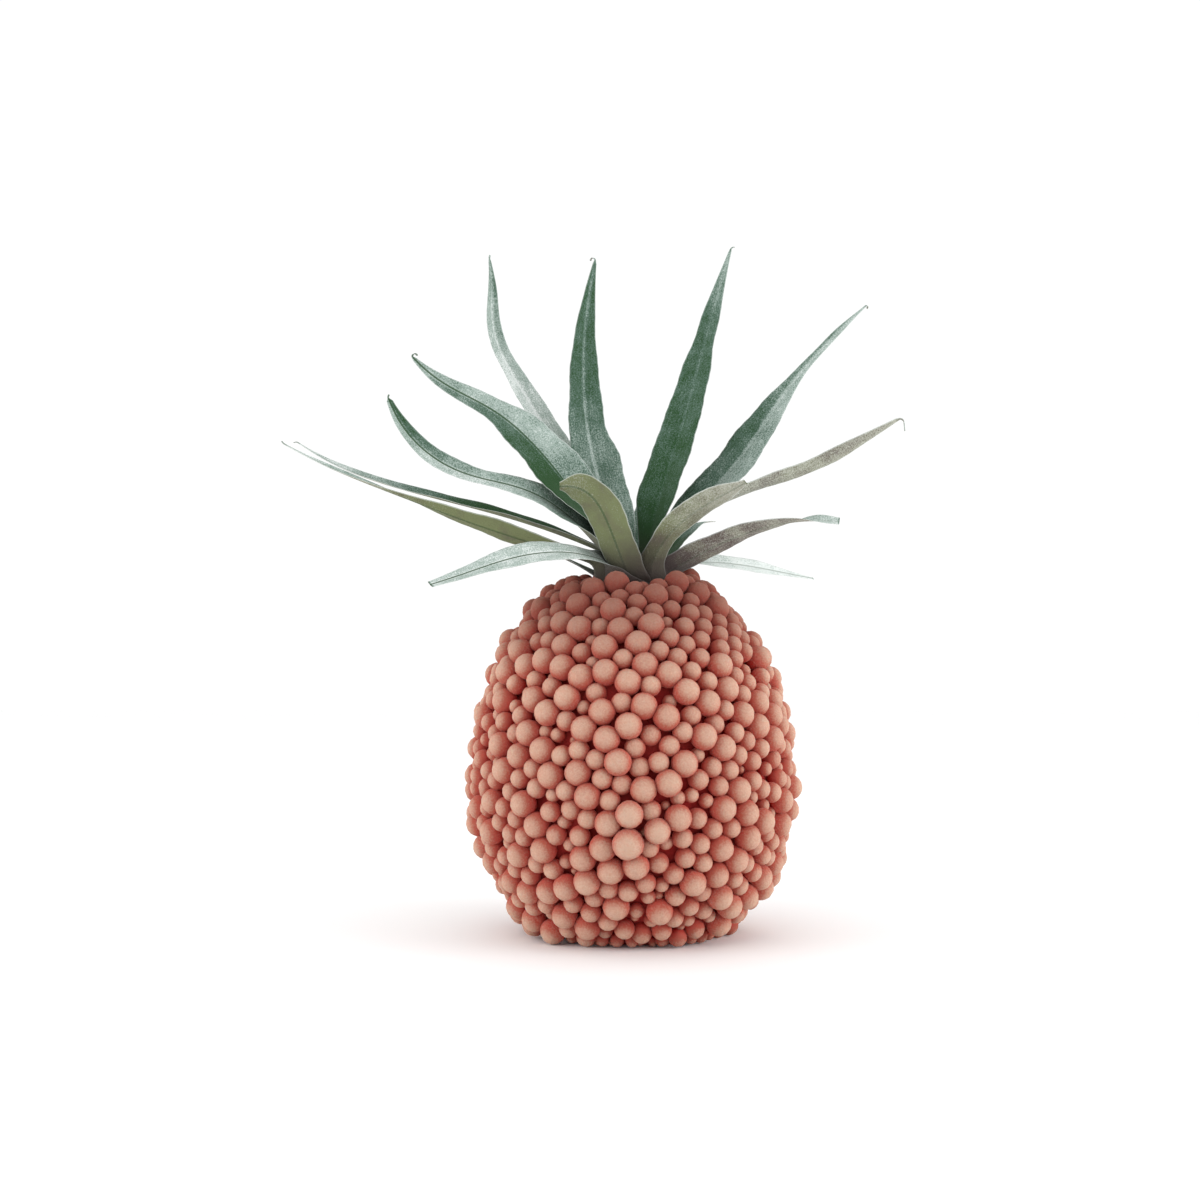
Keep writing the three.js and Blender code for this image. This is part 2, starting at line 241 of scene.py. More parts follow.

# How far out on a bead its painted shade turns from deep red below to red on its side, where its face turns
# salmon and its tip takes a painted pink highlight, and from which height a painted crown shadow darkens it
SIDE_SHADE_RANGE = (-0.5, 0.15)
FACE_RANGE = (0.05, 0.85)
TIP_HIGHLIGHT_RANGE = (0.4, 1.05)
CROWN_SHADOW_RANGE = (0.108, 0.156)
TIP_HIGHLIGHT = 0.8
GRAIN_FUZZ = 0.9
TONE_FUZZ = 0.3
CROWN_SHADE = 0.85


def chance(index, purpose):
    """Repeatable chance between 0 and 1 for one index and one purpose."""
    mask = 0xFFFFFFFF
    bits = ((index + 1) * 0x9E3779B1 & mask) ^ ((purpose + 1) * 0x85EBCA6B & mask)
    bits = (bits ^ (bits >> 15)) * 0xC2B2AE35 & mask
    bits ^= bits >> 13
    return bits / 2 ** 32


def bead_chances(purpose):
    return np.array([chance(index, purpose) for index in range(BEAD_COUNT)])


def body_points(tilt, turn, height):
    """Points of the body at tilts from straight up, turns round the axis and heights above the core."""
    reach = np.where(np.cos(tilt) > 0, CORE_RISE, CORE_DROP)
    across = (CORE_RADIUS + height) * np.sin(tilt)
    up = WAIST_HEIGHT + (reach + height) * np.cos(tilt)
    return np.stack([across * np.sin(turn), -across * np.cos(turn), up], axis=-1)


def lowest_tilt(radius, height):
    return np.arccos((radius + PIECE_GAP - WAIST_HEIGHT) / (CORE_DROP + height))


def dropped(centres, radius, height):
    """Beads brought back to their height on the body, above the ground and outside the crown's opening."""
    x, y, z = centres.T
    reach = np.where(z > WAIST_HEIGHT, CORE_RISE, CORE_DROP)
    across = np.hypot(x, y)
    tilt = np.arctan2(across / (CORE_RADIUS + height), (z - WAIST_HEIGHT) / (reach + height))
    centres = body_points(np.minimum(tilt, lowest_tilt(radius, height)), np.arctan2(x, -y), height)
    x, y, z = centres.T
    y = y + CROWN_FORWARD
    grow = np.maximum((CROWN_OPENING + radius) / np.hypot(x, y), 1)
    x, y = x * grow, y * grow - CROWN_FORWARD
    top = np.arcsin(np.hypot(x, y) / (CORE_RADIUS + height), where=grow > 1, out=np.zeros(len(x)))
    moved = (grow > 1) & (z > WAIST_HEIGHT)
    return np.where(moved[:, None], body_points(top, np.arctan2(x, -y), height), centres)


def first_spiral():
    """Golden-angle spiral over the body, scattered a little, with the size of each bead."""
    typical = MEDIUM / 2
    top = math.asin((CROWN_OPENING - CROWN_FORWARD + typical) / (CORE_RADIUS + typical))
    tilts = np.linspace(top, lowest_tilt(typical, typical), SPIRAL_SAMPLES)
    ring = body_points(tilts, np.zeros(SPIRAL_SAMPLES), typical)
    steps = np.linalg.norm(np.diff(ring, axis=0), axis=1)
    areas = np.concatenate([[0], np.cumsum(-steps * (ring[1:, 1] + ring[:-1, 1]))])
    rank = np.arange(BEAD_COUNT)
    tilt = np.interp(areas[-1] * (rank + 0.5) / BEAD_COUNT, areas, tilts)
    pick = bead_chances(1)
    tilt = tilt + (bead_chances(2) - 0.5) * BEAD_SCATTER / CORE_RADIUS
    turn = rank * math.pi * (3 - math.sqrt(5))
    turn = turn + (bead_chances(3) - 0.5) * BEAD_SCATTER / CORE_RADIUS
    radius = np.where(pick < LARGE_SHARE, LARGE, np.where(pick > 1 - SMALL_SHARE, SMALL, MEDIUM)) / 2
    height = radius - BEAD_SINK - SINK_SPREAD * bead_chances(4)
    return body_points(tilt, turn, height), radius, height


def proud_beads():
    """The few beads that stand proud of the others low on the front."""
    across, up, size = np.array(PROUD_BEADS).T
    radius = size / 2
    height = radius + PROUD_RISE
    tilt = np.arccos((up - WAIST_HEIGHT) / (CORE_DROP + height))
    turn = np.arcsin(across / np.sin(tilt) / (CORE_RADIUS + height))
    return body_points(tilt, turn, height), radius, height


def settled(centres, radius, height, free):
    """The free beads pushed apart step by step until they only touch."""
    contact = BEAD_CONTACT * (radius[:, None] + radius[None, :])
    for _ in range(SETTLING_STEPS):
        apart = centres[:, None, :] - centres[None, :, :]
        distance = np.linalg.norm(apart, axis=2)
        np.fill_diagonal(distance, np.inf)
        push = np.where(distance < contact, (contact - distance) / distance / 2, 0)
        pushed = centres + SETTLING_PUSH * (push[:, :, None] * apart).sum(axis=1)
        centres = np.where(free[:, None], dropped(pushed, radius, height), centres)
    return centres


def wedged(centres, radius):
    """Further beads pushed into the gaps that are left: medium ones where they fit, then smaller ones."""
    for purpose, (size, tightness, tries) in enumerate(FILLINGS):
        small = size / 2
        height = small - BEAD_SINK - WEDGED_SINK
        for attempt in range(tries):
            level = 1 - 2 * chance(attempt, 10 + purpose)
            tilt = min(math.acos(level), lowest_tilt(small, height))
            spot = body_points(tilt, 2 * math.pi * chance(attempt, 20 + purpose), height)
            room = np.linalg.norm(centres - spot, axis=1) - radius
            clear = math.hypot(spot[0], spot[1] + CROWN_FORWARD) - CROWN_OPENING
            if room.min() > small * tightness and clear > small:
                centres = np.vstack([centres, spot])
                radius = np.append(radius, small * (WEDGED_LEAST + WEDGED_SPREAD * chance(attempt, 30)))
    return centres, radius


def bead_tree(material):
    """Geometry nodes: a rounded cube on every point, as large as the point's radius and turned by chance."""
    tree = bpy.data.node_groups.new("glued_beads", "GeometryNodeTree")
    face = tree.interface
    for name, kind in (("Places", "NodeSocketGeometry"), ("Faces on a side", "NodeSocketInt"),
                       ("Turning seed", "NodeSocketInt")):
        face.new_socket(name, in_out="INPUT", socket_type=kind)
    face.new_socket("Beads", in_out="OUTPUT", socket_type="NodeSocketGeometry")
    work = Nodes(tree)
    given = tree.nodes.new("NodeGroupInput")
    places, faces, seed = (Wire(work, given.outputs[rank]) for rank in range(3))
    corners = faces + 1
    cube = work.add("GeometryNodeMeshCube", {}, {"Size": (2, 2, 2), "Vertices X": corners,
                                                 "Vertices Y": corners, "Vertices Z": corners})
    where = work.add("GeometryNodeInputPosition")
    rounded = work.add("ShaderNodeVectorMath", {"operation": "NORMALIZE"}, {0: where})
    ball = work.add("GeometryNodeSetPosition", {}, {"Geometry": cube, "Position": rounded})
    radius = work.add("GeometryNodeInputNamedAttribute", {"data_type": "FLOAT"}, {"Name": "radius"})
    turning = work.add("FunctionNodeRandomValue", {"data_type": "FLOAT_VECTOR"},
                       {"Max": (math.tau, math.tau, math.tau), "Seed": seed})
    beads = work.add("GeometryNodeInstanceOnPoints", {}, {"Points": places, "Instance": ball,
                                                          "Rotation": turning, "Scale": radius})
    solid = work.add("GeometryNodeRealizeInstances", {}, {"Geometry": beads})
    smooth = work.add("GeometryNodeSetShadeSmooth", {}, {"Geometry": solid})
    painted = work.add("GeometryNodeSetMaterial", {}, {"Geometry": smooth, "Material": material})
    taken = tree.nodes.new("NodeGroupOutput")
    work.feed(taken.inputs[0], painted)
    return tree


def point_values(mesh, name, values):
    layer = mesh.attributes.new(name, "FLOAT", "POINT")
    layer.data.foreach_set("value", np.asarray(values, dtype=np.float32))


def add_object(name, data):
    piece = bpy.data.objects.new(name, data)
    bpy.context.scene.collection.objects.link(piece)
    return piece


def grown(name, mesh, tree, values):
    """A plain mesh of what a geometry node tree makes on this mesh, with its named inputs set."""
    piece = add_object(name, mesh)
    modifier = piece.modifiers.new("grow", "NODES")
    modifier.node_group = tree
    for item in tree.interface.items_tree:
        if item.name in values:
            modifier[item.identifier] = values[item.name]
    bpy.context.view_layer.update()
    seen = piece.evaluated_get(bpy.context.evaluated_depsgraph_get())
    result = bpy.data.meshes.new_from_object(seen)
    piece.modifiers.clear()
    piece.data = result
    result.name = name
    return piece


def outwardness(mesh, centres, radius):
    """How far each vertex lies to the outer side of its bead: 1 at the tip, 0 at the widest ring."""
    spots = np.empty(len(mesh.vertices) * 3, dtype=np.float32)
    mesh.vertices.foreach_get("co", spots)
    spots = spots.reshape(len(centres), -1, 3) / MM
    reach = np.where(centres[:, 2] > WAIST_HEIGHT, CORE_RISE, CORE_DROP) + TYPICAL_HEIGHT
    outward = centres - (0, 0, WAIST_HEIGHT)
    outward[:, :2] /= (CORE_RADIUS + TYPICAL_HEIGHT) ** 2
    outward[:, 2] /= reach ** 2
    outward /= np.linalg.norm(outward, axis=1)[:, None]
    toward = (spots - centres[:, None, :]) / radius[:, None, None]
    return np.einsum("bvc,bc->bv", toward, outward).ravel()


def bead_flock():
    """Salmon faces, with red painted shade between and beside the beads, a painted pink highlight and fuzz on
    their tips, and a painted shadow that darkens them under the crown.
    """
    finish = Finish("bead_flock", BEAD_SHEEN, BEAD_SHEEN_TINT)
    finish.surface.inputs["Subsurface Weight"].default_value = BEAD_GLOW
    finish.surface.inputs["Subsurface Radius"].default_value = GLOW_REACH
    finish.surface.inputs["Subsurface Scale"].default_value = GLOW_DEPTH
    where = finish.place()
    tone = finish.attribute("tone")
    grain = finish.noise(where, BEAD_GRAIN)
    outward = finish.attribute("outward")
    salmon = finish.blend(tone, DARK_SALMON, SALMON)
    # Painted shade: deep red under each bead and red down its sides, where the beads shade one another
    colour = finish.blend(outward.eased(*SIDE_SHADE_RANGE), GAP_SHADE_RED, SIDE_SHADE_RED)
    colour = finish.blend(outward.eased(*FACE_RANGE), colour, salmon)
    # Painted highlight: each bead's outer tip is painted pale pink, mixed with a pink mottle by grain and tone
    highlight_and_fuzz = outward.eased(*TIP_HIGHLIGHT_RANGE) * TIP_HIGHLIGHT + (grain - 0.5) * GRAIN_FUZZ + (tone - 0.5) * TONE_FUZZ
    colour = finish.blend(highlight_and_fuzz, colour, HIGHLIGHT_AND_FUZZ_PINK)
    # Painted shadow: the beads darken with height towards the crown, where its leaves shade them
    height = finish.add("ShaderNodeSeparateXYZ", {}, {"Vector": where}, "Z")
    colour = finish.blend(height.eased(*CROWN_SHADOW_RANGE) * CROWN_SHADE, colour, CROWN_SHADOW_RED)
    return finish.dress(colour, grain, BEAD_RELIEF)


bead_centres, bead_radius, bead_height = map(np.concatenate, zip(first_spiral(), proud_beads()))
glued_count = len(bead_centres)
bead_centres = settled(bead_centres, bead_radius, bead_height, np.arange(glued_count) < BEAD_COUNT)
bead_centres, bead_radius = wedged(bead_centres, bead_radius)
bead_tone_and_shade = TONE_SPREAD * np.random.default_rng(TONE_SEED).random(len(bead_centres))
# Painted shade: beads that stand further out are made lighter, and those wedged deep in the gaps darker
bead_tone_and_shade[:glued_count] += SHADE_OF_HEIGHT * (bead_height - SMALL / 2) / (LARGE / 2 - SMALL / 2)
bead_tone_and_shade[BEAD_COUNT:glued_count] = PROUD_PAINTED_LIGHT
bead_tone_and_shade[glued_count:] = WEDGED_PAINTED_SHADE
bead_swollen = np.minimum(bead_radius * FLOCK_SWELL, bead_centres[:, 2])
bead_nodes = bead_tree(bead_flock())
lower = bead_centres[:, 2] < PARTING_HEIGHT
for name, chosen in (("lower_beads", lower), ("upper_beads", ~lower)):
    spots = bpy.data.meshes.new(name)
    spots.from_pydata((bead_centres[chosen] * MM).tolist(), [], [])
    point_values(spots, "radius", bead_swollen[chosen] * MM)
    point_values(spots, "tone", bead_tone_and_shade[chosen])
    beads = grown(name, spots, bead_nodes, {"Faces on a side": BEAD_FACES, "Turning seed": TURNING_SEED})
    point_values(beads.data, "outward", outwardness(beads.data, bead_centres[chosen], bead_radius[chosen]))
    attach(beads, "root")
    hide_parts("bead_coat")


# Leaves
# Each leaf is cut from stiffened cloth, pressed along a mid rib, flocked frosty green above and mauve to olive
# below. Its foot wraps the bundle that stands in the recess of the core, and its tip is drawn to a thread.

SEAT_HEIGHT = 150
RECESS_DEPTH = 3
INNER_RING = 5.6
RING_STEP = 4.4
MIDDLE_RING = INNER_RING + RING_STEP
OUTER_RING = MIDDLE_RING + RING_STEP

# One row a leaf, in mm and degrees. It stands on one of three rings at its seat, a turn from the front to
# the right, goes up by its neck and on by its length. Lists are keys from base to tip: turn is where it heads,
# rise its angle above level, roll its twist, frost how pale its flock is, and half_shade how much paler its
# left half is painted, a painted light and shade of the two halves of the fold. Fold is how far its halves are
# bent up from the rib, and sheath how wide its foot is. Under is 0 for a mauve and 1 for an olive underside.
# Rib is dark below 0 and pale above. Tip is its curl's length and turn.
LEAVES = [
    dict(name="leaf_front_short", seat=2, ring=OUTER_RING, neck=4, length=58, fold=10,
         turn=[-50, -60, -72, -80], rise=[58, 66, 54, -8], roll=[20, 34, 52, 50],
         widths=[13, 16, 17, 17, 16.5, 16, 15, 13.5, 4],
         frost=[0.05, 0.12, 0.15, 0.30], under=0.9, rib=-0.6, half_shade=[0], sheath=16, tip=(0, 0)),
    dict(name="leaf_front_right_short", seat=32, ring=OUTER_RING, neck=13, length=60, fold=18,
         turn=[40, 54, 58], rise=[56, 36, 24, 22], roll=[-25, -35],
         widths=[8, 10.5, 12.5, 12.5, 10, 3],
         frost=[0.15, 0.25, 0.50, 0.68], under=0.7, rib=-0.3, half_shade=[0], sheath=16, tip=(0, 0)),
    dict(name="leaf_right_low", seat=78, ring=OUTER_RING, neck=10, length=80, fold=14,
         turn=[80, 82], rise=[30, 24, 10, -7], roll=[-30, -42, -20, 42],
         widths=[12, 14, 12, 11, 9, 8, 10, 5],
         frost=[0.15, 0.38, 0.55, 0.85], under=0.05, rib=-0.3, half_shade=[0], sheath=20, tip=(0, 0)),
    dict(name="leaf_back_right_drooping", seat=117, ring=OUTER_RING, neck=13, length=78, fold=10,
         turn=[114, 114], rise=[12, -1, -8, -8], roll=[0, 42, 42],
         widths=[12, 14, 12, 9, 5.5, 1.5],
         frost=[0.85, 1.00, 1.05], under=0.5, rib=-0.5, half_shade=[0], sheath=10, tip=(0, 0)),
    dict(name="leaf_back_right_low", seat=156, ring=OUTER_RING, neck=8, length=72, fold=14,
         turn=[148, 146], rise=[36, 33, 26, 4], roll=[0],
         widths=[9, 12, 12, 10, 6, 1],
         frost=[-0.40, -0.35, 0.30, 0.70], under=0, rib=0, half_shade=[0], sheath=10, tip=(0, 0)),
    dict(name="leaf_back_left_low", seat=196, ring=OUTER_RING, neck=9, length=105, fold=16,
         turn=[195, 192], rise=[44, 40, 34, 28], roll=[0],
         widths=[9, 13, 14, 12, 7, 1],
         frost=[0.30, 0.50, 0.60], under=0.5, rib=0.5, half_shade=[0], sheath=10, tip=(0, 0)),
    dict(name="leaf_left_under", seat=-124, ring=OUTER_RING, neck=7, length=42, fold=12,
         turn=[-118, -112], rise=[34, 24, 14], roll=[0],
         widths=[6, 5, 4, 1.5],
         frost=[0.10, 0.20, 0.30], under=0.2, rib=0, half_shade=[0], sheath=12, tip=(0, 0)),
    dict(name="leaf_left_low_front", seat=-84, ring=OUTER_RING, neck=14, length=145, fold=22,
         turn=[-80, -80], rise=[17, 17, 20, 21, 29], roll=[20, 45, 30, -20, -30],
         widths=[7, 8, 10, 9, 6, 5, 3.5, 1],
         frost=[-0.30, -0.15, 0.35, 0.95], under=1, rib=-0.5, half_shade=[0], sheath=15, tip=(2, 30)),
    dict(name="leaf_front_left_drooping", seat=-44, ring=OUTER_RING, neck=14, length=84, fold=8,
         turn=[-58, -62, -64], rise=[15, -5, -19, -18], roll=[-30, -35, -30],
         widths=[8, 12, 16, 15, 12, 8, 5],
         frost=[0.10, 0.80, 0.84, 0.80, 0.80], under=0.15, rib=-1, half_shade=[0], sheath=30, tip=(0, 0)),
    dict(name="leaf_right_middle", seat=68, ring=MIDDLE_RING, neck=18, length=130, fold=14,
         turn=[84, 92, 92], rise=[56, 27, 19, 29, 31], roll=[0, -45, -45],
         widths=[14, 16, 11, 7, 7, 7.5, 7, 4, 1],
         frost=[0.35, 0.72, 0.55, 0.65], under=0.4, rib=0, half_shade=[0], sheath=15, tip=(7, 116)),
    dict(name="leaf_right_high", seat=118, ring=MIDDLE_RING, neck=14, length=162, fold=12,
         turn=[106, 105, 105], rise=[59, 46, 56, 48, 42], roll=[0, 45, 50, 50],
         widths=[18, 24, 21, 18.5, 17, 14, 7, 4.4, 3.5, 1],
         frost=[0.15, 0.50, 0.45, 0.58, 0.50], under=0.6, rib=0.7, half_shade=[-0.15], sheath=12, tip=(2, 200)),
    dict(name="leaf_back_low", seat=168, ring=MIDDLE_RING, neck=14, length=105, fold=16,
         turn=[166, 165], rise=[50, 44, 38, 32], roll=[0],
         widths=[9, 13, 14, 12, 7, 1],
         frost=[0.30, 0.45, 0.60], under=0.4, rib=0.5, half_shade=[0], sheath=10, tip=(0, 0)),
    dict(name="leaf_left_low_back", seat=-100, ring=MIDDLE_RING, neck=19, length=158, fold=22,
         turn=[-102, -100], rise=[24, 18, 15, 20, 34], roll=[0, -20, -20],
         widths=[7, 10, 11, 9.5, 8, 7, 4.5, 1],
         frost=[-0.10, -0.25, 0.45, 0.95], under=0.7, rib=-0.3, half_shade=[0], sheath=12, tip=(2, -60)),
    dict(name="leaf_left_middle", seat=-52, ring=MIDDLE_RING, neck=14, length=128, fold=16,
         turn=[-82, -91, -90], rise=[53, 37, 13, 38, 69], roll=[0, -45, -55, -50],
         widths=[14, 21, 20, 12, 9, 9.5, 9.5, 7.5, 3],
         frost=[-0.25, 0.30, 0.68, 0.60, 0.30], under=0.5, rib=-1, half_shade=[-0.1, 0.25], sheath=14, tip=(2, 60)),
    dict(name="leaf_left_high", seat=-62, ring=INNER_RING, neck=15, length=137, fold=16,
         turn=[-86, -98, -98], rise=[58, 55, 45, 28, 48], roll=[0, -50, -60, -60],
         widths=[13, 21, 27, 26, 22, 17, 12, 9, 5.5, 1.5],
         frost=[-0.15, -0.02, 0.40, 0.52, 0.55], under=0.5, rib=-1,
         half_shade=[-0.25, -0.3, -0.2, 0.05], sheath=14, tip=(4, 200)),
    dict(name="leaf_back_left_tall", seat=-146, ring=MIDDLE_RING, neck=14, length=172, fold=14,
         turn=[-122, -121], rise=[50, 57, 61, 61, 55, 62, 89, 80], roll=[0, -20, -20],
         widths=[10, 14, 17, 18, 17.5, 13, 11, 8.5, 6, 1.5],
         frost=[0.45, 0.75, 0.88, 0.78, 0.33], under=0.5, rib=0.8, half_shade=[0.08], sheath=12, tip=(2, 30)),
    dict(name="leaf_back_tall_left", seat=-166, ring=INNER_RING, neck=19, length=147, fold=10,
         turn=[-134, -134], rise=[57, 67, 82, 96, 107], roll=[0, -25, -10],
         widths=[15, 24, 27, 25, 19, 16, 13.5, 10, 6, 1.5],
         frost=[0.25, 0.45, 0.40, 0.20, 0.15], under=0.5, rib=1, half_shade=[0], sheath=12, tip=(3.5, -200)),
    dict(name="leaf_back_tall_right", seat=114, ring=INNER_RING, neck=16, length=157, fold=12,
         turn=[124, 125], rise=[80, 69, 72, 72, 70], roll=[0, 25, 25],
         widths=[15, 22, 25, 21, 19.5, 15.5, 12, 9, 5, 1.5],
         frost=[-0.50, 0.05, 0.18, 0.28, 0.50], under=0.5, rib=0.4, half_shade=[0], sheath=12, tip=(2.5, 70)),
]

# The neck stands this steeply and bends over this length, and the leaf widens up to this share of its length
NECK_RISE = 84
NECK_BEND = 7
BASE_WIDTH = 7.2
FULL_WIDTH_AT = 0.28
LEAST_WIDTH = 1
SHEATH_FROM, SHEATH_TO = 2, 26

# The curled thread at a tip, which does all its turning in its first half where it is long
CURL_STEPS = 12
CURL_WIDTH = 1.0
LONG_CURL = 5

LEAF_STEPS = 104
LEAF_COLUMNS = 15
LEAF_THICK = 0.75
EDGE_THICK = 0.25
TIP_THINNING = 0.5
RIB_DEPTH = 0.35
RIB_WIDTH = 0.7

# The fold is rounded along the rib and starts at its height, and a foot wider than its ring is cupped no more
CREASE_ROUNDING = 0.004
CREASE_DROP = 0.063
LEAST_CUP = 0.01

# Above its foot the blade is uneven: its edges wander in two long waves and a fine one, and its sides ripple,
# by the full ripple where half the leaf is as wide as RIPPLE_HALF
LOOSE_FROM, LOOSE_TO = 0.12, 0.35
EDGE_WAVE = 41
EDGE_SWELL = 23
EDGE_RIPPLE = 6.1
EDGE_UNEVEN = 0.035
FINE_SHARE = 0.35
RIPPLE = 0.4
RIPPLE_LENGTH = 33
RIPPLE_HALF = 8
RIPPLE_REACH = 2.5
LEAF_PHASE = 2.1
EDGE_PHASE = 1.7
COLUMN_PHASE = 1.3

DEEP_GREEN = (0.021, 0.062, 0.020, 1)
LEAF_GREEN = (0.082, 0.138, 0.104, 1)
MINT = (0.325, 0.398, 0.360, 1)
FROST_WHITE = (0.700, 0.745, 0.725, 1)
MAUVE = (0.105, 0.082, 0.075, 1)
OLIVE = (0.155, 0.178, 0.088, 1)
PALE_UNDER = (0.400, 0.410, 0.350, 1)
BASE_BROWN = (0.052, 0.040, 0.038, 1)
LEAF_SHEEN = 0.12
LEAF_SHEEN_TINT = (0.92, 1, 0.95, 1)
LEAF_RELIEF = 0.0003
LEAF_GRAIN = 1800
STREAK_SCALE = 1.4
STREAK_STRETCH = (1.0, 0.06, 1.0)
BLOTCH_SCALE = 110
PATTERN_DETAIL = 3

# How much streaks, blotches and the rib add to the frost, and at how much frost one colour becomes the next
STREAK_FROST = 0.25
BLOTCH_FROST = 0.5
RIB_FROST = 0.25
GREEN_RANGE = (0.0, 0.38)
MINT_RANGE = (0.32, 0.75)
WHITE_RANGE = (0.7, 1.1)
PALE_UNDER_RANGE = (0.2, 0.85)
WHITE_UNDER_RANGE = (0.8, 1.2)
OLIVE_BLOTCHES = 2.0
STREAK_RELIEF = 0.3
THREAD_FROST = 0.2

# In mm from the rib or the edge: the frost beside the rib, the rib's dark line, and the white line of an edge
BESIDE_RIB = (0.1, 1.4)
RIB_LINE = (0.25, 0.7)
RIB_DARK = 0.9
EDGE_LINE = (0.0, 0.55)
EDGE_WHITE = 0.45

# The foot of a leaf is brown, and green again this far up
DARK_FROM, DARK_TO = 6, 34
FOOT_DARK = 0.95


def smooth_step(value, low, high):
    share = np.clip((value - low) / (high - low), 0, 1)
    return float(share * share * (3 - 2 * share))


def keyed(keys, share):
    """Value of a smooth curve through a list of keys, at a share of the way along it."""
    last = len(keys) - 1
    place = min(max(share, 0), 1) * last
    before = min(int(place), max(last - 1, 0))
    a, b, c, d = (keys[min(max(before + step, 0), last)] for step in (-1, 0, 1, 2))
    t = place - before
    return b + t * (c - a + t * (2 * a - 5 * b + 4 * c - d + t * (3 * (b - c) + d - a))) / 2


def nearest_turn(turn, other):
    """The same turn, written so that it is less than half a circle from another."""
    return other + (turn - other + 180) % 360 - 180


def leaf_line(leaf):
    """Middle line of a leaf, from its seat to its tip and on along the curl that the tip is drawn out to."""
    total = leaf["neck"] + leaf["length"]
    reach, curl = leaf["tip"]
    stride = (total - reach) / LEAF_STEPS
    seat = math.radians(leaf["seat"])
    place = np.array([leaf["ring"] * math.sin(seat), -leaf["ring"] * math.cos(seat) - CROWN_FORWARD,
                      SEAT_HEIGHT - RECESS_DEPTH + PIECE_GAP])
    line = []
    for step in range(LEAF_STEPS + 1):
        travelled = step * stride
        share = (travelled - leaf["neck"]) / leaf["length"]
        bend = smooth_step(travelled, leaf["neck"] - NECK_BEND / 2, leaf["neck"] + NECK_BEND / 2)
        heading = nearest_turn(keyed(leaf["turn"], share), leaf["seat"])
        turn = math.radians(leaf["seat"] + (heading - leaf["seat"]) * bend)
        rise = math.radians(NECK_RISE + (keyed(leaf["rise"], share) - NECK_RISE) * bend)
        roll = math.radians(keyed(leaf["roll"], share))
        along = np.array([math.cos(rise) * math.sin(turn), -math.cos(rise) * math.cos(turn), math.sin(rise)])
        level = np.array([math.cos(turn), math.sin(turn), 0])
        side = level * math.cos(roll) + np.cross(along, level) * math.sin(roll)
        widening = smooth_step(travelled / total, 0, FULL_WIDTH_AT)
        width = BASE_WIDTH + (max(keyed(leaf["widths"], share), LEAST_WIDTH) - BASE_WIDTH) * widening
        line.append((place.copy(), along, side, travelled, width))
        place += along * stride
    if reach == 0:
        return line
    pace = 2 if reach > LONG_CURL else 1
    for step in range(1, CURL_STEPS + 1):
        angle = math.radians(curl) * min(1, pace * step / CURL_STEPS)
        turned = np.array([along[0] * math.cos(angle) + along[2] * math.sin(angle), along[1],
                           along[2] * math.cos(angle) - along[0] * math.sin(angle)])
        place = place + turned * reach / CURL_STEPS
        level = np.cross(turned, np.cross(side, turned))
        line.append((place.copy(), turned, level / np.linalg.norm(level), total, CURL_WIDTH))
    return line


def leaf_section(leaf, rank, travelled, width):
    """One row across a leaf: how far from rib and edge, how raised and how thick it is in each column."""
    columns = np.linspace(-1, 1, LEAF_COLUMNS)
    share = travelled / (leaf["neck"] + leaf["length"])
    sheath = 1 - smooth_step(travelled, SHEATH_FROM, SHEATH_TO)
    half = width / 2
    half += max(leaf["sheath"] / 2 - half, 0) * sheath
    loose = smooth_step(share, LOOSE_FROM, LOOSE_TO) * (1 - share ** 6)
    phase = rank * LEAF_PHASE + np.sign(columns) * (EDGE_PHASE + rank)
    uneven = (np.sin(travelled / EDGE_WAVE * math.tau + phase)
              + np.sin(travelled / EDGE_SWELL * math.tau + 2 * phase)
              + FINE_SHARE * np.sin(travelled / EDGE_RIPPLE * math.tau + 3 * phase))
    aside = columns * half * (1 + EDGE_UNEVEN * loose * uneven)
    crease = np.sqrt(columns ** 2 + CREASE_ROUNDING) - CREASE_DROP
    fold = crease * half * math.tan(math.radians(leaf["fold"]))
    cup = leaf["ring"] - np.sqrt(np.maximum(leaf["ring"] ** 2 - aside ** 2, LEAST_CUP))
    raised = fold * (1 - sheath) + cup * sheath
    wave = np.sin(travelled / RIPPLE_LENGTH * math.tau + rank * LEAF_PHASE + columns * COLUMN_PHASE)
    raised += wave * np.abs(columns) ** RIPPLE_REACH * RIPPLE * loose * half / RIPPLE_HALF
    raised -= RIB_DEPTH * np.exp(-(aside / RIB_WIDTH) ** 2) * (1 - share)
    thick = (EDGE_THICK + (LEAF_THICK - EDGE_THICK) * (1 - columns ** 4)) * (1 - TIP_THINNING * share)
    return aside, half - np.abs(columns) * half, raised, thick


